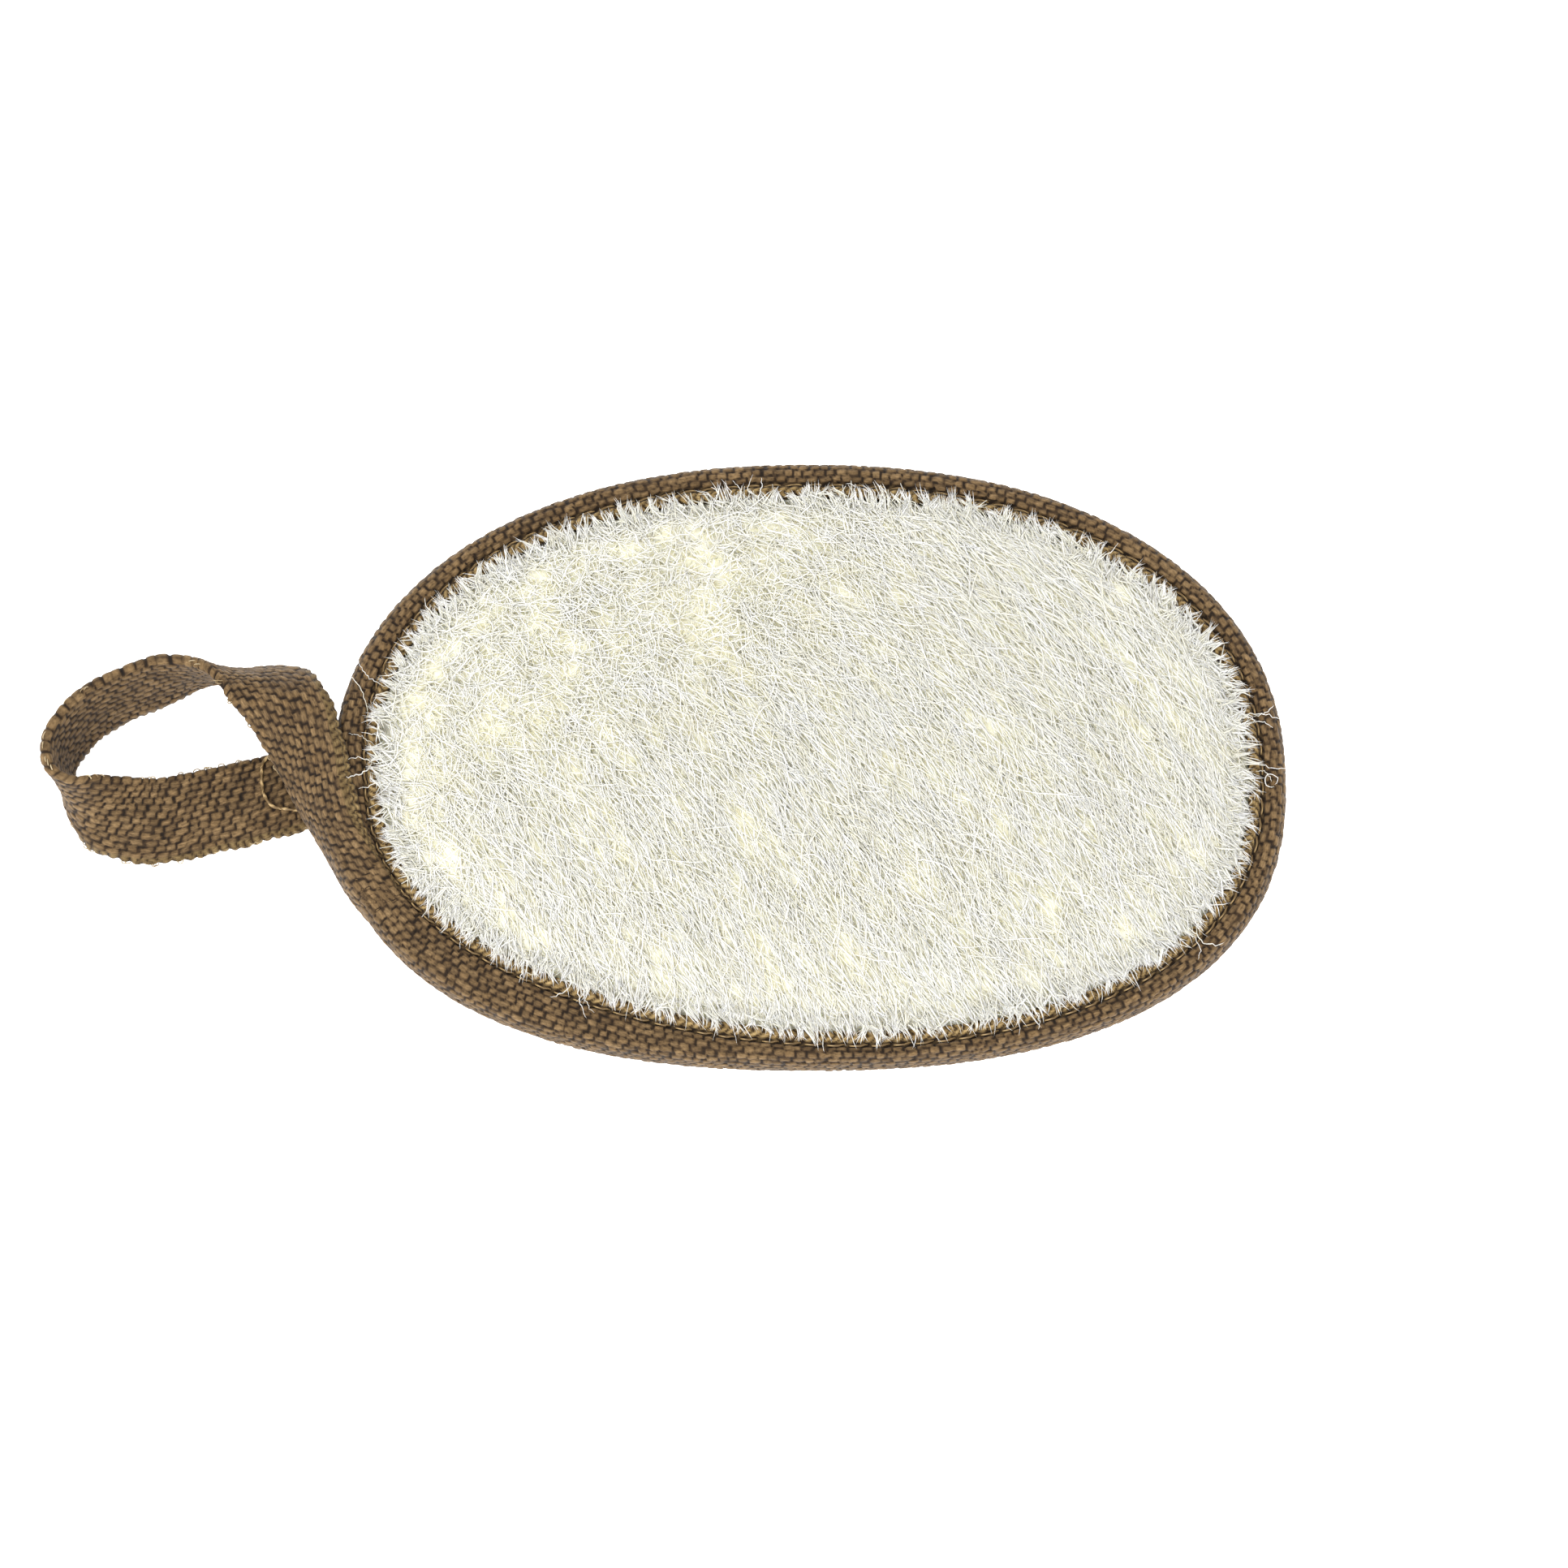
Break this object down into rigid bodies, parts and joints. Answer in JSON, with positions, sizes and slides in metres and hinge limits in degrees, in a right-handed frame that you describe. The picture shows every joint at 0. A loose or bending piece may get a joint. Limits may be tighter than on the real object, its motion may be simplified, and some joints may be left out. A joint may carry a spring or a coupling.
{
  "type": "natural loofah sponge pad with hanging loop",
  "caption": "Flat oval loofah body sponge: a crowned mat of pale fibre with a brown woven tape folded over its rim and ending in a hanging loop.",
  "frame": {"origin": "in the small flat spot of the back face, which the pad lies on", "axes": "+X along the oval, away from the hanging loop; +Y across the oval; +Z out of the front face"},
  "size_m": [0.1695, 0.085, 0.0194],
  "materials": {
    "loofah_fibre": "matte dried plant fibre",
    "woven_tape": "matte woven tape",
    "sewing_thread": "spun thread"
  },
  "bodies": {
    "root": {"loofah_pad": "loofah_fibre", "rim_binding": "woven_tape", "hanging_loop": "woven_tape", "seam_thread_top": "sewing_thread", "seam_thread_under": "sewing_thread", "loop_tack_thread": "sewing_thread"}
  },
  "joints": []
}
